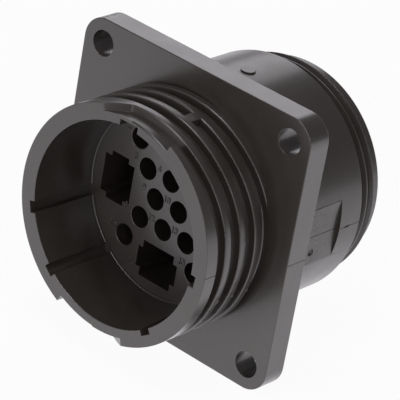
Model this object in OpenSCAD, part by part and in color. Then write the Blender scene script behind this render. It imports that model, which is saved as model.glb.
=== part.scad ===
// Circular panel mount receptacle: one moulding with a square flange, a coupling shell with a
// double-start thread, a contact insert across the inside and a barrel with a fine thread at the rear.
// Drawn with the axis along Z and the mating face up, then laid over so that the axis runs along Y.

/* [Mounting flange] */
// Side of the square flange
flange_w = 42.3; // [41:0.1:46]
// Thickness of the flange
flange_t = 3.9; // [3:0.1:6]
// Radius of the flange's corners
corner_r = 3.7; // [1:0.1:4]
// Chamfer along the flange's edges
edge_chamfer = 0.12; // [0.1:0.02:0.8]
// Distance between neighbouring mounting holes
hole_spacing = 34.93; // [34:0.01:36]
// Diameter of the mounting holes
hole_d = 3.85; // [3:0.05:4.2]

/* [Mating shell] */
// Length of the shell in front of the flange
shell_len = 12.8; // [12.4:0.1:14]
// Diameter over the coupling thread
crest_d = 34.8; // [34.2:0.1:35.4]
// Diameter at the foot of the coupling thread
root_d = 32.6; // [32.2:0.1:33.4]
// Diameter of the socket
socket_d = 29.75; // [29:0.05:30.5]
// Radius of the fillet round the socket's floor
socket_foot_r = 0.5; // [0.2:0.05:1]
// Rounding of the rim's edges
rim_r = 0.12; // [0.1:0.02:0.5]
// Depth from the rim to the face of the insert
socket_depth = 11.2; // [9:0.1:12]

/* [Keyways] */
// Width of the main keyway
main_key_w = 3.2; // [2:0.1:4]
// Width of the other keyways
key_w = 1.65; // [1:0.05:2.5]
// Diameter across the floors of the keyways
key_floor_d = 31.5; // [31:0.1:32]

/* [Coupling thread] */
// Distance between neighbouring ridges along the axis
thread_pitch = 3.04; // [2.8:0.02:3.2]
// Width of a ridge's crest
ridge_w = 1.1; // [0.8:0.05:1.4]
// Extra width of the band at the rim, towards the flange
band_drop = 0.35; // [0:0.05:0.5]
// Height of the first whole ridge above the flange, at the parting line
first_ridge = 2.42; // [2:0.02:2.8]
// Angle to each side of the parting line over which the ridges run level
level_arc = 18; // [10:1:25]
// Angle at which the open lead-in of a groove begins
lead_in_from = 64; // [60:0.5:75]
// Angle at which the wall behind a lead-in leaves its ridge
lead_in_to = 92; // [85:0.5:98]
// Angle at which that wall reaches the rim
lead_in_rim = 107; // [103:0.5:112]
// Angle of the stop across a groove
stop_at = 75; // [68:1:90]
// Width of the stop
stop_w = 1.5; // [1:0.1:3]
// Depth of the stop's top below the crests
stop_drop = 0.15; // [0.1:0.05:0.5]

/* [Rear barrel] */
// Diameter of the barrel
barrel_d = 35.8; // [35:0.1:37]
// Length of the barrel behind the flange
barrel_len = 15.85; // [14:0.05:20]
// Rounding of the barrel's shoulder
shoulder_r = 0.15; // [0.1:0.05:0.8]
// Width of the flat on the barrel's side
flat_w = 8.8; // [6:0.1:12]
// Length of the flat from the flange
flat_len = 11.35; // [8:0.05:13]
// Diameter of the gate's pit in the flat
gate_d = 1.2; // [0.8:0.1:2]
// Depth of the gate's pit
gate_depth = 0.4; // [0.2:0.05:0.8]
// Diameter of the raised pad on top of the barrel
pad_d = 2.2; // [1.5:0.1:3]
// Height of the raised pad
pad_h = 0.22; // [0.1:0.02:0.4]

/* [Rear neck] */
// Length of the neck behind the barrel
neck_len = 6.1; // [5.2:0.1:8]
// Diameter over the fine thread
neck_crest_d = 33.7; // [33.2:0.1:34.5]
// Diameter at the foot of the fine thread
neck_root_d = 32; // [31.4:0.1:32.6]
// Pitch of the fine thread
neck_pitch = 1.45; // [1.2:0.05:1.6]
// Number of turns of the fine thread
neck_turns = 3; // [2:1:3]
// Width of the fine thread's crests
neck_crest_w = 0.2; // [0.1:0.05:0.3]
// Angle of the fine thread's flanks to the plane across the axis
neck_flank = 30; // [20:1:32]
// Plain stretch between the barrel and the fine thread
neck_gap = 0.2; // [0.1:0.05:0.4]
// Chamfer at the end of the neck
neck_chamfer = 0.12; // [0.1:0.02:0.6]

/* [Wiring hollow] */
// Diameter of the hollow at the rear
hollow_d = 28.6; // [28:0.1:29.4]
// Depth of the hollow from the rear end
hollow_depth = 7.5; // [4:0.1:10]

/* [Contact cavities] */
// Distance between neighbouring round cavities
contact_pitch = 4.45; // [4.3:0.01:4.55]
// Diameter of the round cavities at the mating face
contact_d = 3.16; // [2.6:0.02:3.3]
// Diameter of the round cavities behind their step
contact_rear_d = 3.7; // [3.4:0.05:3.9]
// Depth of the step from the mating face
contact_step = 9; // [6:0.5:12]
// Chamfer at the rear entry of the round cavities
entry_chamfer = 0.25; // [0.1:0.05:0.3]
// Distance of the power cavities from the axis
power_at = 9.6; // [9.5:0.05:9.8]
// Radial width of the power cavities
power_w = 5.6; // [5:0.05:5.8]
// Breadth of the power cavities around the axis
power_b = 5.85; // [5:0.05:6]
// Radial width of the side slots of the power cavities
slot_w = 3.2; // [2:0.1:4]
// Breadth over the side slots
slot_b = 7.45; // [6.6:0.05:7.6]

/* [Hidden] */
$fn = 96;
small_fn = 32;

lap = 0.5;
housing_colour = "#2b2a2b";

quarter_turn = 90;
half_turn = 180;

crest_r = crest_d / 2;
root_r = root_d / 2;
socket_r = socket_d / 2;
thread_r = (crest_r + root_r) / 2;
barrel_r = barrel_d / 2;
barrel_z = -flange_t - barrel_len;
rear_z = barrel_z - neck_len;
insert_z = shell_len - socket_depth;
hollow_z = rear_z + hollow_depth;

// Places of the marks left by the mould on the barrel
gate_y = -2.6;
gate_z = -10.2;
pad_z = -11.5;

// Keyways around the socket: the main one at the top, the others at the angles that set the polarity
main_key_angle = 90;
key_angles = [for (turn = [105, 140, 215, 265]) main_key_angle + turn];

// Round cavities in rows of a triangular grid: the row's number and the places along it, in pitches
contact_rows = [[0, [-0.5, 0.5]], [1, [-1, 0, 1]], [-1, [-1, 0, 1]], [2, [-1.5, 1.5]], [-2, [-1.5, 1.5]]];
grid_angle = 60;
row_gap = contact_pitch * sin(grid_angle);

// Each half turn of a ridge is a chain of flat arcs: level at both ends, tilted in between
tilted_arcs = 3;
tilted_arc = (half_turn - 2 * level_arc) / tilted_arcs;
arc_ends = concat([0], [for (i = [0 : tilted_arcs]) level_arc + i * tilted_arc], [half_turn]);
arc_lap = 0.4;
first_row = -1;
rim_row = 3;

// Share of a pitch that a ridge has climbed at an angle of its half turn
function climb(a) = min(1, max(0, (a - level_arc) / (half_turn - 2 * level_arc)));
function ridge_z(row, a) = first_ridge + thread_pitch * (row + climb(a));
// Share of its extra width that the band has gained along the last tilted arc
function widened(a) = min(1, max(0, (a - arc_ends[tilted_arcs]) / tilted_arc));
function on_circle(r, a) = [r * cos(a), r * sin(a)];

// Half section of a turned length with its outer edge rounded at the top
module rounded_end(r, h, edge) {
    difference() {
        square([r, h]);
        translate([r - edge, h - edge])
            difference() {
                square(edge + lap);
                circle(edge);
            }
    }
}

// Wedge about the axis between two angles
module sector(a0, a1, h) {
    far = 2 * crest_r;
    linear_extrude(h)
        polygon([[0, 0], on_circle(far, a0), on_circle(far, (a0 + a1) / 2), on_circle(far, a1)]);
}

// One flat arc of a ridge between two heights; a band reaches forward from it past the rim
module ridge_arc(a0, z0, a1, z1, w) {
    mid = (a0 + a1) / 2;
    tilt = atan((z1 - z0) / (2 * thread_r * sin((a1 - a0) / 2)));
    intersection() {
        sector(a0 - arc_lap, a1 + arc_lap, shell_len);
        translate([0, 0, (z0 + z1) / 2])
            rotate(a = tilt, v = [cos(mid), sin(mid), 0])
                translate([0, 0, -ridge_w / 2])
                    cylinder(h = w, r = crest_r + lap);
    }
}

// One ridge over a half turn
module ridge(row) {
    for (i = [0 : len(arc_ends) - 2])
        ridge_arc(arc_ends[i], ridge_z(row, arc_ends[i]),
            arc_ends[i + 1], ridge_z(row, arc_ends[i + 1]), ridge_w);
}

// Band between the rim and the foremost groove, open along the lead-in
module rim_band() {
    drop_at = [for (a = arc_ends) band_drop * widened(a)];
    intersection() {
        for (i = [0 : len(arc_ends) - 2])
            ridge_arc(arc_ends[i], ridge_z(rim_row, arc_ends[i]) - band_drop,
                arc_ends[i + 1], ridge_z(rim_row, arc_ends[i + 1]) - band_drop, shell_len);
        sector(-arc_lap, lead_in_from, shell_len);
    }
    intersection() {
        for (i = [0 : len(arc_ends) - 2])
            ridge_arc(arc_ends[i], ridge_z(rim_row - 1, arc_ends[i]) - drop_at[i],
                arc_ends[i + 1], ridge_z(rim_row - 1, arc_ends[i + 1]) - drop_at[i + 1], shell_len);
        slanted_sector();
    }
}

// Stretch of the rim behind the lead-in, whose wall slants from the ridge up to the rim
module slanted_sector() {
    half_w = ridge_w / 2;
    difference() {
        sector(lead_in_to, half_turn + arc_lap, shell_len);
        ridge_arc(lead_in_to, ridge_z(rim_row - 1, lead_in_to) + half_w,
            lead_in_rim, shell_len + half_w, shell_len);
    }
}

// Bar across the groove between two ridges, against which the coupling ring stops
module stop() {
    low = ridge_z(0, stop_at);
    rotate(stop_at)
        translate([0, -stop_w / 2, low])
            cube([crest_r - stop_drop, stop_w, thread_pitch]);
}

// Double-start coupling thread, the same in each half of the mould
module coupling_thread() {
    intersection() {
        rotate_extrude()
            rounded_end(crest_r, shell_len, rim_r);
        for (side = [0, half_turn])
            rotate(side) {
                for (row = [first_row : rim_row - 1])
                    ridge(row);
                rim_band();
                stop();
            }
    }
}

// Half section of the flange, from the middle out to its chamfered edge
module flange_section(reach) {
    polygon([[0, 0], [reach - edge_chamfer, 0], [reach, -edge_chamfer],
        [reach, edge_chamfer - flange_t], [reach - edge_chamfer, -flange_t], [0, -flange_t]]);
}

// Square plate of four round corners and the slabs between them
module flange() {
    inset = flange_w / 2 - corner_r;
    for (a = [0 : quarter_turn : half_turn + quarter_turn])
        rotate(a) {
            translate([inset, inset, 0])
                rotate_extrude()
                    flange_section(corner_r);
            translate([0, inset, 0])
                rotate([quarter_turn, 0, 0])
                    linear_extrude(2 * inset)
                        flange_section(flange_w / 2);
        }
}

// Half section of the barrel and of the neck with the fine thread's ridges
module barrel_profile() {
    neck_crest_r = neck_crest_d / 2;
    neck_root_r = neck_root_d / 2;
    flank = (neck_crest_r - neck_root_r) * tan(neck_flank);
    thread_z = barrel_z - neck_gap;
    crests = [for (i = [0 : neck_turns - 1]) thread_z - (i + 0.5) * neck_pitch];
    teeth = [for (z = crests, side = [1, -1], foot = [1, 0])
        let (at_foot = side > 0 ? foot : 1 - foot)
        [at_foot ? neck_root_r : neck_crest_r, z + side * (neck_crest_w / 2 + (at_foot ? flank : 0))]];
    mirror([0, 1])
        rounded_end(barrel_r, -barrel_z, shoulder_r);
    polygon(concat([[0, barrel_z + lap], [neck_root_r, barrel_z + lap]], teeth,
        [[neck_root_r, rear_z + neck_chamfer], [neck_root_r - neck_chamfer, rear_z], [0, rear_z]]));
}

// Flat along the barrel's side, with the pit left by the gate
module side_flat() {
    flat_x = sqrt(pow(barrel_r, 2) - pow(flat_w / 2, 2));
    translate([flat_x, -flat_w, -flange_t - flat_len])
        cube([barrel_r - flat_x + lap, 2 * flat_w, flat_len]);
    translate([flat_x - gate_depth, gate_y, gate_z])
        rotate([0, quarter_turn, 0])
            cylinder(h = gate_depth + lap, d = gate_d, $fn = small_fn);
}

// Low round pad on top of the barrel
module pad() {
    translate([0, 0, pad_z])
        rotate([-quarter_turn, 0, 0])
            cylinder(h = barrel_r + pad_h, d = pad_d, $fn = small_fn);
}

// Room for the mating plug, with its keyways
module socket() {
    translate([0, 0, insert_z]) {
        rotate_extrude()
            socket_profile();
        keyway(main_key_angle, main_key_w);
        for (a = key_angles)
            keyway(a, key_w);
    }
}

// Half section of the socket: a fillet round its floor and a rounded mouth
module socket_profile() {
    difference() {
        square([socket_r, socket_depth + lap]);
        translate([socket_r - socket_foot_r, socket_foot_r])
            difference() {
                translate([0, -socket_foot_r - lap])
                    square(socket_foot_r + lap);
                circle(socket_foot_r);
            }
    }
    translate([socket_r - lap, socket_depth - rim_r])
        difference() {
            square([lap + rim_r, rim_r + lap]);
            translate([lap + rim_r, 0])
                circle(rim_r);
        }
}

module keyway(a, w) {
    intersection() {
        rotate(a)
            translate([0, -w / 2, 0])
                cube([key_floor_d, w, socket_depth + lap]);
        cylinder(h = socket_depth + lap, d = key_floor_d);
    }
}

module wiring_hollow() {
    translate([0, 0, rear_z - lap])
        cylinder(h = hollow_depth + lap, d = hollow_d);
}

// Stepped cavity that a round contact is pushed into from the rear
module contact_cavity() {
    translate([0, 0, hollow_z - lap])
        cylinder(h = insert_z - hollow_z + 2 * lap, d = contact_d);
    translate([0, 0, hollow_z - lap])
        cylinder(h = insert_z - contact_step - hollow_z + lap, d = contact_rear_d);
    flare = lap + entry_chamfer;
    translate([0, 0, hollow_z - lap])
        cylinder(h = flare, d1 = contact_rear_d + 2 * flare, d2 = contact_rear_d);
}

// Square cavity with a slot at each side for a flat power contact
module power_cavity() {
    translate([power_at, 0, hollow_z - lap])
        linear_extrude(insert_z - hollow_z + 2 * lap) {
            square([power_w, power_b], center = true);
            square([slot_w, slot_b], center = true);
        }
}

module mounting_hole() {
    translate([hole_spacing / 2, hole_spacing / 2, -flange_t - lap])
        cylinder(h = flange_t + 2 * lap, d = hole_d);
}

module receptacle_housing() {
    color(housing_colour)
        rotate([quarter_turn, 0, 0])
            difference() {
                union() {
                    rotate_extrude()
                        rounded_end(root_r, shell_len, rim_r);
                    coupling_thread();
                    flange();
                    difference() {
                        rotate_extrude()
                            barrel_profile();
                        side_flat();
                    }
                    pad();
                }
                socket();
                wiring_hollow();
                for (row = contact_rows, step = row[1])
                    translate([step * contact_pitch, row[0] * row_gap, 0])
                        contact_cavity();
                for (a = [0 : quarter_turn : half_turn + quarter_turn]) {
                    rotate(a)
                        power_cavity();
                    rotate(a)
                        mounting_hole();
                }
            }
}

receptacle_housing();
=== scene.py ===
import math

import bmesh
import bpy
from mathutils import Matrix, Quaternion, Vector


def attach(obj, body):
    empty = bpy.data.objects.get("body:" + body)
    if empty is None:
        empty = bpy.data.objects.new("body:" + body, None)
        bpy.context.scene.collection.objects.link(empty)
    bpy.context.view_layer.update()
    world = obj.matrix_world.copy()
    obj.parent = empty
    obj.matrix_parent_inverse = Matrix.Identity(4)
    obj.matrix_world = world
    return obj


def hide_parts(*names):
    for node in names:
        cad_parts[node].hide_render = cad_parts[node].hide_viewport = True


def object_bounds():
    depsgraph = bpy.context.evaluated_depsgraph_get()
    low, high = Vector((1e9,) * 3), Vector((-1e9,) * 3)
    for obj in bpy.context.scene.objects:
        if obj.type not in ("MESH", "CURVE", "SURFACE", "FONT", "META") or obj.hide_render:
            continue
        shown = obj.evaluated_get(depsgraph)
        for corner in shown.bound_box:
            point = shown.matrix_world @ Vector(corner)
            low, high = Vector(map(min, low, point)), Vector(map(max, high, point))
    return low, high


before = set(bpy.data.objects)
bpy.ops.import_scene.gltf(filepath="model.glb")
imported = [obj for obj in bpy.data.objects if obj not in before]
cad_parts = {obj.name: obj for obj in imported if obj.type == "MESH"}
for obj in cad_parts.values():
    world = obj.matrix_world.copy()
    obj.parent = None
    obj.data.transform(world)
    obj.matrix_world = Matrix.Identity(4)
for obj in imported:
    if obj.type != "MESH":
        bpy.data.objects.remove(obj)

cad_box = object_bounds()


# Core of the housing. The coupling shell, the barrel and the rear neck are one round body of black
# glass-filled thermoplastic, moulded in one shot with every feature below. Sizes are in millimetres and
# degrees, with the mating face up; the finished moulding is laid over into the part's frame.
shell_length = 12.8
root_radius = 16.3
shell_round = 0.25
shell_fillet = 0.3
barrel_radius = 17.9
barrel_end = -19.75
shoulder_round = 0.12
neck_radius = 16.0
neck_fillet = 0.15
rear_end = -25.85
end_round = 0.1
core_steps = 192
round_segments = 5
merge_distance = 1e-4
hidden_lap = 0.02


def soften(bm, geom, radius, segments=round_segments, affect="EDGES"):
    """Rounds edges, or the corners of a flat face."""
    bmesh.ops.bevel(bm, geom=geom, offset=radius, segments=segments, profile=0.5, affect=affect,
                    material=-1)


def turn(bm, degrees, axis="Z", verts=None):
    """Turns a bmesh, or some of its vertices, about an axis through the origin."""
    bmesh.ops.rotate(bm, verts=verts or bm.verts[:], cent=(0, 0, 0),
                     matrix=Matrix.Rotation(math.radians(degrees), 3, axis))


def outline(points):
    """A flat face in the XY plane from (x, y) corners, or (x, y, radius) where a corner is rounded."""
    bm = bmesh.new()
    corners = [bm.verts.new((x, y, 0)) for x, y, *_ in points]
    bm.faces.new(corners)
    for corner, (_, _, *radius) in zip(corners, points):
        if radius:
            soften(bm, [corner], radius[0], affect="VERTICES")
    return bm


def section(points):
    """The rim of an outline stood up in the XZ plane, ready to go round the axis."""
    bm = outline(points)
    bmesh.ops.delete(bm, geom=bm.faces[:], context="FACES_ONLY")
    on_axis = [e for e in bm.edges if max(abs(v.co.x) for v in e.verts) < merge_distance]
    bmesh.ops.delete(bm, geom=on_axis, context="EDGES")
    turn(bm, 90, "X")
    return bm


def turned(points, steps=core_steps):
    """Solid of revolution about Z from a half outline of (radius, height) corners, each end one face."""
    bm = section(points)
    bmesh.ops.spin(bm, geom=bm.verts[:] + bm.edges[:], cent=(0, 0, 0), axis=(0, 0, 1), angle=math.tau,
                   steps=steps, use_merge=True)
    bmesh.ops.remove_doubles(bm, verts=bm.verts[:], dist=merge_distance)
    bmesh.ops.dissolve_verts(bm, verts=[v for v in bm.verts if v.co.xy.length < merge_distance])
    bmesh.ops.recalc_face_normals(bm, faces=bm.faces[:])
    return bm


def shape(name, bm):
    """An object from a finished bmesh."""
    mesh = bpy.data.meshes.new(name)
    bm.to_mesh(mesh)
    bm.free()
    made = bpy.data.objects.new(name, mesh)
    bpy.context.scene.collection.objects.link(made)
    return made


housing = shape("moulded_housing", turned(
    [(0, shell_length), (root_radius, shell_length, shell_round), (root_radius, -hidden_lap, shell_fillet),
     (barrel_radius, -hidden_lap), (barrel_radius, barrel_end, shoulder_round),
     (neck_radius, barrel_end, neck_fillet), (neck_radius, rear_end, end_round), (0, rear_end)]))
tools = []


def work(operation, tool, target=housing):
    """Joins a solid to the moulding or cuts it away, as a step of its own."""
    step = target.modifiers.new(tool.name, "BOOLEAN")
    step.operation = operation
    step.solver = "MANIFOLD"
    step.object = tool
    tools.append(tool)


# Mounting flange. A square plate across the middle of the moulding, with rounded corners and edges
# softened by the mould.
flange_width = 42.3
flange_thickness = 3.9
corner_radius = 3.7
corner_segments = 12
edge_radius = 0.12


def move(bm, vec, verts=None):
    """Shifts a bmesh, or some of its vertices."""
    bmesh.ops.translate(bm, verts=verts or bm.verts[:], vec=vec)


def cuboid(size, centre):
    """A box of a size about its centre."""
    bm = bmesh.new()
    bmesh.ops.create_cube(bm, size=1)
    bmesh.ops.scale(bm, verts=bm.verts[:], vec=size)
    move(bm, centre)
    return bm


flange = cuboid((flange_width, flange_width, flange_thickness), (0, 0, -flange_thickness / 2))
upright = [e for e in flange.edges if abs(e.verts[0].co.z - e.verts[1].co.z) > flange_thickness / 2]
soften(flange, upright, corner_radius, corner_segments)
level = [e for e in flange.edges if abs(e.verts[0].co.z - e.verts[1].co.z) < flange_thickness / 2]
soften(flange, level, edge_radius)
work("UNION", shape("flange", flange))


# Coupling thread. Two right-hand ridges are moulded on the shell for the plug's ring to screw onto. They
# wind up from the flange towards the rim, level across the mould's parting line and sloping between.
crest_radius = 17.4
ridge_foot = 15.9
ridge_width = 1.1
half_ridge = ridge_width / 2
flank_run = 0.08
front_round = 0.2
rear_round = 0.05
thread_starts = 2
thread_pitch = 3.04
first_ridge = 2.42
ridge_rows = 3
level_arc = 18
slope_arc = 180 - 2 * level_arc
lead_in_rim = 107
ridge_lap = 1
degrees_per_step = 2


def swept(points, start, stretches):
    """Solid swept round the axis from a section, by stretches of (degrees, rise, steps)."""
    bm = section(points)
    turn(bm, start)
    front = bm.verts[:] + bm.edges[:]
    for degrees, rise, steps in stretches:
        front = bmesh.ops.spin(bm, geom=front, cent=(0, 0, 0), axis=(0, 0, 1), dvec=(0, 0, rise / steps),
                               angle=math.radians(degrees), steps=steps)["geom_last"]
    bmesh.ops.holes_fill(bm, edges=[e for e in bm.edges if e.is_boundary], sides=0)
    bmesh.ops.recalc_face_normals(bm, faces=bm.faces[:])
    return bm


def repeat_round(bm, count):
    """Copies everything in a bmesh to equal places round the axis."""
    everything = bm.verts[:] + bm.edges[:] + bm.faces[:]
    bmesh.ops.spin(bm, geom=everything, cent=(0, 0, 0), axis=(0, 0, 1), use_duplicate=True,
                   angle=math.tau * (count - 1) / count, steps=count - 1)
    return bm


def slope(degrees, extra=0):
    """A stretch that climbs with the thread, with an extra rise where it departs from it."""
    return degrees, thread_pitch * degrees / slope_arc + extra, math.ceil(degrees / degrees_per_step)


flat_run = (level_arc, 0, level_arc // degrees_per_step)
half_turn = [flat_run, slope(slope_arc), flat_run]
under_band = [flat_run, slope(lead_in_rim + ridge_lap - level_arc)]
ridge = swept(
    [(ridge_foot, -half_ridge - flank_run), (crest_radius, -half_ridge, rear_round),
     (crest_radius, half_ridge, front_round), (ridge_foot, half_ridge + flank_run)],
    0, half_turn * ridge_rows + under_band)
move(ridge, (0, 0, first_ridge - thread_pitch))
work("UNION", shape("ridges", repeat_round(ridge, thread_starts)))


# Rim bands. Near the rim each ridge widens into a band with a slanted, hollow wall at its start and a
# plain, rounded wall at its end. Between the two bands the lead-ins stay open for the plug's ring.
lead_in_from = 64
lead_in_to = 92
lead_in_hollow = 0.08
band_row = 2
band_lap = 4
band_drop = 0.35
rim_round = 0.12
wall_round = 0.45
wall_lap = 7
overcut = 1


def ridge_height(row, angle):
    """Height of a ridge's middle on the slope past a parting line, with rows counted from the flange."""
    return first_ridge + thread_pitch * (row + (angle - level_arc) / slope_arc)


band_from = lead_in_to - band_lap
band = swept(
    [(ridge_foot, 0), (crest_radius, 0, rear_round), (crest_radius, shell_length),
     (ridge_foot, shell_length)],
    band_from,
    [slope(slope_arc + level_arc - band_from, -band_drop), flat_run, flat_run,
     slope(lead_in_from - level_arc)])
move(band, (0, 0, ridge_height(band_row, band_from) - half_ridge + hidden_lap))
wall_angle = math.radians(lead_in_from + 180)
wall_corner = Vector((math.cos(wall_angle), math.sin(wall_angle))) * crest_radius
wall_edge = [e for e in band.edges if all((v.co.xy - wall_corner).length < merge_distance for v in e.verts)]
soften(band, wall_edge, wall_round)
bands = shape("rim_bands", repeat_round(band, thread_starts))

envelope_radius = crest_radius + hidden_lap
envelope = turned([(0, 0), (envelope_radius, 0), (envelope_radius, shell_length, rim_round),
                   (0, shell_length)])
work("INTERSECT", shape("rim_envelope", envelope), bands)

wall_foot = ridge_height(band_row, lead_in_to)
wall_rise = (shell_length - wall_foot) / (lead_in_rim - lead_in_to)
wall_arc = lead_in_rim - lead_in_to + 2 * wall_lap
lead_in_wall = swept(
    [(root_radius - hidden_lap, 0, lead_in_hollow), (crest_radius + overcut, 0),
     (crest_radius + overcut, shell_length), (root_radius - hidden_lap, shell_length)],
    lead_in_to - wall_lap, [(wall_arc, wall_arc * wall_rise, wall_arc)])
move(lead_in_wall, (0, 0, wall_foot - wall_lap * wall_rise))
work("DIFFERENCE", shape("lead_in_walls", repeat_round(lead_in_wall, thread_starts)), bands)
work("UNION", bands)


# Stops. A small block is moulded across each lower groove, between two rows of ridges and almost as high
# as they are, and ends the turn of the plug's ring.
stop_angle = 75
stop_row = 0.5
stop_width = 1.5
stop_drop = 0.02
stop_round = 0.12
stop_segments = 3

stop_depth = crest_radius - stop_drop - ridge_foot
stop = cuboid((stop_depth, stop_width, thread_pitch),
              (ridge_foot + stop_depth / 2, 0, ridge_height(stop_row, stop_angle)))
soften(stop, stop.edges[:], stop_round, stop_segments)
turn(stop, stop_angle)
work("UNION", shape("stops", repeat_round(stop, thread_starts)))


# Burrs. Small grains of plastic were squeezed out of the mould and stand on the ridges' edges, where the
# level and the sloping stretches meet, and on the rim beside one lead-in.
burr_size = 0.16
burr_form = Vector((1, 2.2, 0.8))
rim_burrs = (105, 106.4, 110.6, 112.3)

burr_places = [(edge * level_arc, first_ridge + thread_pitch * row + edge * half_ridge)
               for row in range(ridge_rows) for edge in (1, -1)]
burr_places += [(angle + 180, height) for angle, height in burr_places]
for angle in rim_burrs:
    below_rim = wall_rise * max(0, lead_in_rim - angle) + burr_size * burr_form.z
    burr_places.append((angle, shell_length - below_rim))
burrs = bmesh.new()
for angle, height in burr_places:
    made = bmesh.ops.create_icosphere(burrs, subdivisions=2, radius=burr_size)["verts"]
    bmesh.ops.scale(burrs, verts=made, vec=burr_form)
    move(burrs, (crest_radius - burr_size / 2, 0, height), made)
    turn(burrs, angle, verts=made)
work("UNION", shape("burrs", burrs))


# Fine thread on the rear neck. A small V-shaped ridge winds forward almost three times, from near the
# rear end to the barrel's shoulder, for a cable clamp to screw onto.
fine_pitch = 1.45
fine_crest = 16.85
fine_foot = 15.8
fine_half_crest = 0.1
fine_half_foot = 0.68
fine_round = 0.06
fine_start = -24.58
fine_from = -200
fine_arc = 1050
fine_degrees_per_step = 3

fine = swept(
    [(fine_foot, -fine_half_foot), (fine_crest, -fine_half_crest, fine_round),
     (fine_crest, fine_half_crest, fine_round), (fine_foot, fine_half_foot)],
    fine_from, [(fine_arc, fine_pitch * fine_arc / 360, fine_arc // fine_degrees_per_step)])
move(fine, (0, 0, fine_start))
work("UNION", shape("fine_thread", fine))


# Mating socket and its keyways. The shell is cored out from the front with a filleted foot and a rounded
# mouth, and a fine groove rings its floor. One wide and four narrow keyways run its full depth and set
# which plug fits.
socket_radius = 14.875
socket_floor = 1.6
foot_radius = 14.42
foot_round = 0.15
ring_radius = 14.05
line_width = 0.09
line_depth = 0.07
main_keyway = (90, 3.2)
narrow_width = 1.65
narrow_keyways = [(angle, narrow_width) for angle in (195, 230, 305, 355)]
keyway_floor = 15.75
keyway_from = 13
keyway_draft = 0.6
keyway_round = 0.15
keyway_flare = 0.5
lip_gap = 0.002
lip = shell_length + lip_gap
above = shell_length + overcut

work("DIFFERENCE", shape("socket", turned(
    [(0, socket_floor), (foot_radius, socket_floor, foot_round), (socket_radius, lip, rim_round),
     (crest_radius, lip), (crest_radius, above), (0, above)])))
ring_inside = ring_radius - line_width
ring_top = socket_floor + overcut
ring_bottom = socket_floor - line_depth
work("DIFFERENCE", shape("insert_ring", turned(
    [(ring_inside, ring_top), (ring_radius, ring_top), (ring_radius, ring_bottom),
     (ring_inside, ring_bottom)])))


def prism(points, low, high):
    """An outline drawn up between two heights."""
    bm = outline(points)
    move(bm, (0, 0, low))
    drawn = bmesh.ops.extrude_face_region(bm, geom=bm.faces[:], use_keep_orig=True)["geom"]
    move(bm, (0, 0, high - low), [v for v in drawn if isinstance(v, bmesh.types.BMVert)])
    bmesh.ops.recalc_face_normals(bm, faces=bm.faces[:])
    return bm


for angle, width in [main_keyway] + narrow_keyways:
    half = width / 2
    flared = half + keyway_flare
    keyway = prism(
        [(-half, socket_floor), (half, socket_floor), (half, lip, keyway_round), (flared, lip),
         (flared, above), (-flared, above), (-flared, lip), (-half, lip, keyway_round)],
        -keyway_floor, -keyway_from)
    for v in keyway.verts:
        if v.co.z < -keyway_from - merge_distance and v.co.y < socket_floor + merge_distance:
            v.co.z += keyway_draft
    turn(keyway, 90, "X")
    turn(keyway, angle - 90)
    work("DIFFERENCE", shape(f"keyway_{angle}", keyway))


# Wiring hollow and contact cavities. The rear is cored out to a second face, and stepped round holes
# and slotted square ones pass from there to the mating face for contacts that are pushed in later.
hollow_radius = 14.3
hollow_floor = -18.35
hollow_fillet = 0.5
hollow_round = 0.25
contact_pitch = 4.45
row_gap = contact_pitch * math.sin(math.radians(60))
contact_rows = {0: (-0.5, 0.5), 1: (-1, 0, 1), -1: (-1, 0, 1), 2: (-1.5, 1.5), -2: (-1.5, 1.5)}
front_radius = 1.58
rear_radius = 1.85
clear_radius = 2.1
step_depth = 9
step_height = socket_floor - step_depth
cavity_round = 0.1
cavity_rear_round = 0.2
small_steps = 48
power_count = 4
power_at = 9.6
power_width = 5.6
power_breadth = 5.85
slot_width = 3.2
slot_breadth = 7.45

work("DIFFERENCE", shape("wiring_hollow", turned(
    [(0, hollow_floor), (hollow_radius, hollow_floor, hollow_fillet),
     (hollow_radius, rear_end - lip_gap, hollow_round), (barrel_radius, rear_end - lip_gap),
     (barrel_radius, rear_end - overcut), (0, rear_end - overcut)])))


def bored(wall, clear, steps):
    """Cutter for a hole through two faces, widened past each so that its mouths can be rounded."""
    (front, top, top_round), *between, (rear, bottom, bottom_round) = wall
    return turned(
        [(0, top + overcut), (clear, top + overcut), (clear, top + lip_gap),
         (front, top + lip_gap, top_round), *between, (rear, bottom - lip_gap, bottom_round),
         (clear, bottom - lip_gap), (clear, bottom - overcut), (0, bottom - overcut)], steps)


def add_copy(bm, mesh, place):
    """Adds a mesh to a bmesh at a place, and removes the mesh."""
    mesh.transform(Matrix.Translation(place))
    bm.from_mesh(mesh)
    bpy.data.meshes.remove(mesh)


cavity = bpy.data.meshes.new("round_cavity")
bored([(front_radius, socket_floor, cavity_round), (front_radius, step_height),
       (rear_radius, step_height), (rear_radius, hollow_floor, cavity_rear_round)],
      clear_radius, small_steps).to_mesh(cavity)
cavities = bmesh.new()
cavity_places = [(step * contact_pitch, row * row_gap)
                 for row, steps in contact_rows.items() for step in steps]
for x, y in cavity_places:
    add_copy(cavities, cavity.copy(), (x, y, 0))
bpy.data.meshes.remove(cavity)
work("DIFFERENCE", shape("round_cavities", cavities))

inner, outer = power_at - power_width / 2, power_at + power_width / 2
slot_in, slot_out = power_at - slot_width / 2, power_at + slot_width / 2
wide, slotted = power_breadth / 2, slot_breadth / 2
power_half = [(inner, -wide), (slot_in, -wide), (slot_in, -slotted), (slot_out, -slotted),
              (slot_out, -wide), (outer, -wide)]
power = prism(power_half + [(x, -y) for x, y in reversed(power_half)],
              hollow_floor - overcut, socket_floor + overcut)
work("DIFFERENCE", shape("power_cavities", repeat_round(power, power_count)))


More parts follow.
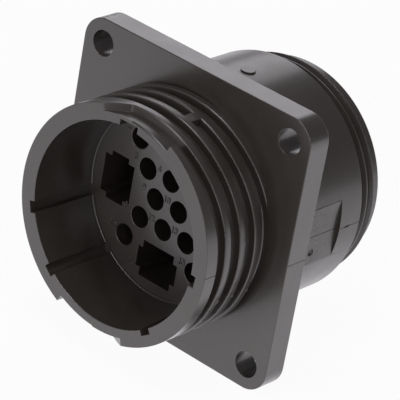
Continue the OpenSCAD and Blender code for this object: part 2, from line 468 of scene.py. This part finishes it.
# Mounting holes. Four plain holes in the flange's corners take the screws that hold the part to its
# panel. The mould softened their edges on both faces.
hole_count = 4
hole_spacing = 34.93
hole_radius = 1.925
hole_clear = 3.0
hole_round = 0.06
hole_steps = 64

hole = bored([(hole_radius, 0, hole_round), (hole_radius, -flange_thickness, hole_round)],
             hole_clear, hole_steps)
move(hole, (hole_spacing / 2, hole_spacing / 2, 0))
work("DIFFERENCE", shape("mounting_holes", repeat_round(hole, hole_count)))


# Flat and marks on the barrel. A flat lies along one side behind the flange, edged by the line of its
# mould insert, with a small gate pit in it. A round mould mark sits on top, and the mould's parting line
# shows as a fine groove on both sides, chipped near the shoulder.
flat_width = 8.8
flat_length = 11.35
flat_at = math.sqrt(barrel_radius ** 2 - (flat_width / 2) ** 2)
flange_rear = -flange_thickness
flat_end = flange_rear - flat_length
pit_radius = 0.6
pit_place = (flat_at + 0.2, -2.6, -10.2)
chip_radius = 0.3
chip_form = (0.6, 0.55, 2.2)
chip_place = (barrel_radius, 0, -16.9)
pad_radius = 1.1
pad_height = 0.22
pad_round = 0.05
pad_place = (-0.15, 0, -11.5)
rim_line_from = 10.4
line_lap = 0.5


def cut_box(name, low, high):
    """Cuts away a box between two corners."""
    size = Vector(high) - Vector(low)
    centre = (Vector(high) + Vector(low)) / 2
    work("DIFFERENCE", shape(name, cuboid(size, centre)))


cut_box("side_flat", (flat_at, -flat_width, flat_end),
        (barrel_radius + overcut, flat_width, flange_rear + hidden_lap / 2))
pit = bmesh.new()
bmesh.ops.create_uvsphere(pit, u_segments=24, v_segments=16, radius=pit_radius)
move(pit, pit_place)
work("DIFFERENCE", shape("gate_pit", pit))
cut_box("insert_line", (flat_at - line_depth, flat_width / 2 - line_width, flat_end),
        (barrel_radius + overcut, flat_width / 2, flange_rear + hidden_lap / 2))

chip = bmesh.new()
bmesh.ops.create_icosphere(chip, subdivisions=3, radius=chip_radius)
bmesh.ops.scale(chip, verts=chip.verts[:], vec=chip_form)
move(chip, chip_place)
work("DIFFERENCE", shape("chip", chip))

pad_top = barrel_radius + pad_height
pad_bottom = barrel_radius - overcut
pad = turned([(0, pad_bottom), (pad_radius, pad_bottom), (pad_radius, pad_top, pad_round), (0, pad_top)],
             small_steps)
turn(pad, -90, "X")
move(pad, pad_place)
work("UNION", shape("mould_pad", pad))

for side in (1, -1):
    surfaces = [(crest_radius, rim_line_from, shell_length + line_lap),
                (flange_width / 2, flange_rear - line_lap, line_lap),
                (barrel_radius, barrel_end - line_lap, flat_end if side > 0 else flange_rear)]
    if side > 0:
        surfaces.append((flat_at, flat_end, flange_rear))
    for number, (reach, low, high) in enumerate(surfaces):
        near, far = sorted((side * (reach - line_depth), side * (reach + line_lap)))
        cut_box(f"parting_line_{side}_{number}", (near, -line_width / 2, low), (far, line_width / 2, high))


# Position numbers. Small plain digits stand up from the insert beside the cavities, so that each
# contact can be found. They are part of the moulding.
digit_size = 1.3
digit_height = 0.14
digit_round = 0.04
digit_offset = Vector((-2.35, 0.85))
power_digits = [(-4.9, 10.6), (-9.6, 4.75), (9.6, 4.75), (-4.7, -11)]

numbers = bmesh.new()
digit_places = [Vector(place) + digit_offset for place in cavity_places] + power_digits
digit_places.sort(key=lambda place: (-round(place[1]), place[0]))
for count, (x, y) in enumerate(digit_places, 1):
    letters = bpy.data.curves.new("digits", "FONT")
    letters.body = str(count)
    letters.size = digit_size
    letters.align_x = "CENTER"
    letters.align_y = "CENTER"
    letters.extrude = digit_height - digit_round
    letters.bevel_depth = digit_round
    letters.bevel_resolution = 2
    letters.resolution_u = 3
    drawn = bpy.data.objects.new("digits", letters)
    add_copy(numbers, bpy.data.meshes.new_from_object(drawn), (x, y, socket_floor))
    bpy.data.objects.remove(drawn)
    bpy.data.curves.remove(letters)
bmesh.ops.remove_doubles(numbers, verts=numbers.verts[:], dist=merge_distance)
bmesh.ops.recalc_face_normals(numbers, faces=numbers.faces[:])
work("UNION", shape("position_numbers", numbers))


# Finished moulding. All steps above become one closed mesh in the part's frame, smooth over its rounded
# edges and crisp where faces meet. It is freed of the slivers that the cuts leave: small faces become
# triangles first, so that none is left folded.
mm = 0.001
sliver = 0.001 * mm
broad_face = mm ** 2
crisp_angle = math.radians(32)

bpy.context.view_layer.update()
finished = bpy.data.meshes.new_from_object(housing.evaluated_get(bpy.context.evaluated_depsgraph_get()))
finished.name = "moulded_housing"
housing.modifiers.clear()
housing.data = finished
for tool in tools:
    bpy.data.objects.remove(tool)
finished.transform(Matrix.Rotation(math.pi / 2, 4, "X") @ Matrix.Scale(mm, 4))
bm = bmesh.new()
bm.from_mesh(finished)
bmesh.ops.triangulate(bm, faces=[face for face in bm.faces if face.calc_area() < broad_face])
bmesh.ops.remove_doubles(bm, verts=bm.verts[:], dist=sliver)
bmesh.ops.dissolve_degenerate(bm, edges=bm.edges[:], dist=sliver)
bm.to_mesh(finished)
bm.free()
finished.shade_smooth()
finished.set_sharp_from_angle(angle=crisp_angle)
weighted = housing.modifiers.new("even_normals", "WEIGHTED_NORMAL")
weighted.keep_sharp = True
weighted.weight = 100
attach(housing, "root")
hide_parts("receptacle_housing")


# Black glass-filled thermoplastic. It is a near-black satin plastic with a fine grain, a faint unevenness
# where the melt flowed, and a few pale specks. The mould was polished in front and eroded behind the
# flange, so the barrel is duller, and the flat is crumpled where its insert let go.
plastic_black = "#322c27"
plastic_grey = "#39332d"
speck_grey = "#4a474a"
flow_size = 5
grain_size = 0.22
grain_depth = 0.05
speck_gap = 1.6
crumple_size = 1.1
crumple_depth = 0.8
crumple_run = 4
fade = 0.05


def linear(hex_colour):
    """An sRGB hex colour as linear RGBA."""
    parts = [int(hex_colour[i:i + 2], 16) / 255 for i in (1, 3, 5)]
    return [c / 12.92 if c <= 0.04045 else ((c + 0.055) / 1.055) ** 2.4 for c in parts] + [1]


def add_node(tree, kind, settings=None, links=None):
    """Adds a node, sets its fields and inputs by name or number, and links its inputs to outputs."""
    made = tree.nodes.new(kind)
    for name, value in (settings or {}).items():
        if isinstance(name, int) or name in made.inputs:
            made.inputs[name].default_value = value
        else:
            setattr(made, name, value)
    for name, output in (links or {}).items():
        tree.links.new(output, made.inputs[name])
    return made


def per_mm(size):
    """Texture scale at which a pattern repeats about every so many millimetres."""
    return 1 / (size * mm)


plastic = bpy.data.materials.new("satin_black_thermoplastic")
plastic.use_nodes = True
tree = plastic.node_tree
tree.nodes.clear()
place = add_node(tree, "ShaderNodeTexCoord").outputs["Object"]
axes = add_node(tree, "ShaderNodeSeparateXYZ", links={0: place}).outputs

# Colour and roughness. A colour Mix node has its factor in input 0, its colours in 6 and 7, and its
# result in output 2.
flow = add_node(tree, "ShaderNodeTexNoise", {"Scale": per_mm(flow_size), "Detail": 3},
                {"Vector": place}).outputs["Fac"]
dots = add_node(tree, "ShaderNodeTexVoronoi", {"Scale": per_mm(speck_gap)},
                {"Vector": place}).outputs["Distance"]
speck = add_node(tree, "ShaderNodeMapRange", {"From Min": 0.05, "From Max": 0.09, "To Min": 1, "To Max": 0},
                 {"Value": dots}).outputs["Result"]
body = add_node(tree, "ShaderNodeMix",
                {"data_type": "RGBA", 6: linear(plastic_black), 7: linear(plastic_grey)},
                {0: flow}).outputs[2]
colour = add_node(tree, "ShaderNodeMix", {"data_type": "RGBA", 7: linear(speck_grey)},
                  {0: speck, 6: body}).outputs[2]
rough = add_node(tree, "ShaderNodeMapRange",
                 {"From Min": 0.3, "From Max": 0.7, "To Min": 0.4, "To Max": 0.5},
                 {"Value": flow}).outputs["Result"]

# Gloss and grain, which change at the flange's rear face.
behind = {"From Min": (flange_thickness - fade) * mm, "From Max": (flange_thickness + fade) * mm}
gloss = add_node(tree, "ShaderNodeMapRange", {**behind, "To Min": 1, "To Max": 0.75},
                 {"Value": axes["Y"]}).outputs["Result"]
texture = add_node(tree, "ShaderNodeMapRange", {**behind, "To Min": 0.1, "To Max": 0.3},
                   {"Value": axes["Y"]}).outputs["Result"]
grain = add_node(tree, "ShaderNodeTexNoise", {"Scale": per_mm(grain_size), "Detail": 2},
                 {"Vector": place}).outputs["Fac"]
grained = add_node(tree, "ShaderNodeBump", {"Distance": grain_depth * mm},
                   {"Strength": texture, "Height": grain}).outputs["Normal"]

# Crumpled flat. The bump begins past the flange, fades out along the flat and stays on its side.
past = add_node(tree, "ShaderNodeMapRange",
                {"From Min": (flange_thickness + fade) * mm,
                 "From Max": (flange_thickness + 3 * fade) * mm},
                {"Value": axes["Y"]}).outputs["Result"]
along = add_node(tree, "ShaderNodeMapRange",
                 {"From Min": (flange_thickness + crumple_run) * mm,
                  "From Max": (flange_thickness + flat_length) * mm, "To Min": 1, "To Max": 0},
                 {"Value": axes["Y"]}).outputs["Result"]
beside = add_node(tree, "ShaderNodeMapRange",
                  {"From Min": (flat_at - 2 * fade) * mm, "From Max": (flat_at - fade) * mm},
                  {"Value": axes["X"]}).outputs["Result"]
stretch = add_node(tree, "ShaderNodeMath", {"operation": "MULTIPLY"}, {0: past, 1: along}).outputs[0]
on_flat = add_node(tree, "ShaderNodeMath", {"operation": "MULTIPLY"}, {0: stretch, 1: beside}).outputs[0]
crumple = add_node(tree, "ShaderNodeTexNoise",
                   {"Scale": per_mm(crumple_size), "Detail": 4, "Distortion": 1.5},
                   {"Vector": place}).outputs["Fac"]
bump = add_node(tree, "ShaderNodeBump", {"Distance": crumple_depth * mm},
                {"Strength": on_flat, "Height": crumple, "Normal": grained}).outputs["Normal"]

shader = add_node(tree, "ShaderNodeBsdfPrincipled", {"IOR": 1.55, "Coat Roughness": 0.24, "Coat IOR": 1.6},
                  {"Base Color": colour, "Roughness": rough, "Coat Weight": gloss, "Normal": bump})
add_node(tree, "ShaderNodeOutputMaterial", links={"Surface": shader.outputs["BSDF"]})
finished.materials.clear()
finished.materials.append(plastic)


# Studio floor. A pale sheet under the flange's lower edge, whose front end lies a hand's breadth before
# the part; seen by the camera it is nearly white and keeps a soft shadow.
floor_size = 3.0
floor_front = 0.1
floor_white = "#f4f1f0"
floor_glow = 0.95
pure_white = "#ffffff"
light_colour = "#fdfaff"

bm = bmesh.new()
bmesh.ops.create_grid(bm, x_segments=1, y_segments=1, size=floor_size / 2)
floor = shape("floor", bm)
floor.location = (0, floor_size / 2 - floor_front, cad_box[0].z)
paper = bpy.data.materials.new("white_paper")
paper.use_nodes = True
tree = paper.node_tree
tree.nodes.clear()
ray = add_node(tree, "ShaderNodeLightPath")
seen = add_node(tree, "ShaderNodeMath", {"operation": "MAXIMUM"},
                {0: ray.outputs["Is Camera Ray"], 1: ray.outputs["Is Glossy Ray"]}).outputs[0]
share = add_node(tree, "ShaderNodeMath", {"operation": "MULTIPLY", 1: floor_glow}, {0: seen}).outputs[0]
sheet = add_node(tree, "ShaderNodeBsdfDiffuse", {"Color": linear(floor_white)}).outputs["BSDF"]
tone = add_node(tree, "ShaderNodeMix",
                {"data_type": "RGBA", 6: linear(pure_white), 7: linear(light_colour)},
                {0: ray.outputs["Is Glossy Ray"]}).outputs[2]
glow = add_node(tree, "ShaderNodeEmission", {"Strength": 1}, {"Color": tone}).outputs["Emission"]
mixed = add_node(tree, "ShaderNodeMixShader", links={0: share, 1: sheet, 2: glow}).outputs[0]
add_node(tree, "ShaderNodeOutputMaterial", links={"Surface": mixed})
floor.data.materials.append(paper)


# Studio light. A faint white tent all round, and four soft lights: a window behind to the left, a low
# one in front, a weak one to the right and a small one overhead.
tent_strength = 0.16

world = bpy.data.worlds.new("white_tent")
bpy.context.scene.world = world
world.use_nodes = True
tree = world.node_tree
tree.nodes.clear()
tent = add_node(tree, "ShaderNodeBackground",
                {"Color": linear(light_colour), "Strength": tent_strength}).outputs[0]
white = add_node(tree, "ShaderNodeBackground", {"Color": linear(pure_white), "Strength": 1}).outputs[0]
ray = add_node(tree, "ShaderNodeLightPath")
seen = add_node(tree, "ShaderNodeMath", {"operation": "MAXIMUM"},
                {0: ray.outputs["Is Camera Ray"], 1: ray.outputs["Is Transmission Ray"]}).outputs[0]
mixed = add_node(tree, "ShaderNodeMixShader", links={0: seen, 1: tent, 2: white}).outputs[0]
add_node(tree, "ShaderNodeOutputWorld", links={"Surface": mixed})


def softbox(name, place, size, power):
    """A square soft light at a place in metres, turned to the part."""
    lamp = bpy.data.lights.new(name, "AREA")
    lamp.shape = "SQUARE"
    lamp.size = size
    lamp.energy = power
    lamp.color = linear(light_colour)[:3]
    made = bpy.data.objects.new(name, lamp)
    made.location = place
    made.rotation_mode = "QUATERNION"
    made.rotation_quaternion = (Vector() - Vector(place)).to_track_quat("-Z", "Y")
    bpy.context.scene.collection.objects.link(made)


softbox("window_light", (-0.37, 0.37, 0.28), size=0.36, power=0.53)
softbox("front_light", (-0.05, -0.59, 0.1), size=0.3, power=0.9)
softbox("side_light", (0.49, -0.28, 0.2), size=0.3, power=0.5)
softbox("overhead_light", (0, -0.14, 0.58), size=0.2, power=0.95)


# Camera. A long lens at the photograph's angle, turned a little about its own axis. It looks at a point
# near the middle of the part.
camera_azimuth = math.radians(37.44)
camera_elevation = math.radians(26.549)
camera_roll = math.radians(10.306)
camera_distance = 0.39956
camera_aim = Vector((-0.05, 5.77, -1.09)) * mm
away = Vector((math.sin(camera_azimuth) * math.cos(camera_elevation),
               -math.cos(camera_azimuth) * math.cos(camera_elevation), math.sin(camera_elevation)))

camera = bpy.data.objects.new("camera", bpy.data.cameras.new("camera"))
camera.data.sensor_width = 36
camera.data.lens = 253.6
camera.data.clip_start = 0.01
camera.data.clip_end = 10
camera.location = camera_aim + away * camera_distance
camera.rotation_mode = "QUATERNION"
camera.rotation_quaternion = (-away).to_track_quat("-Z", "Y") @ Quaternion((0, 0, 1), camera_roll)
bpy.context.scene.collection.objects.link(camera)
bpy.context.scene.camera = camera
bpy.context.scene.view_settings.view_transform = "Standard"
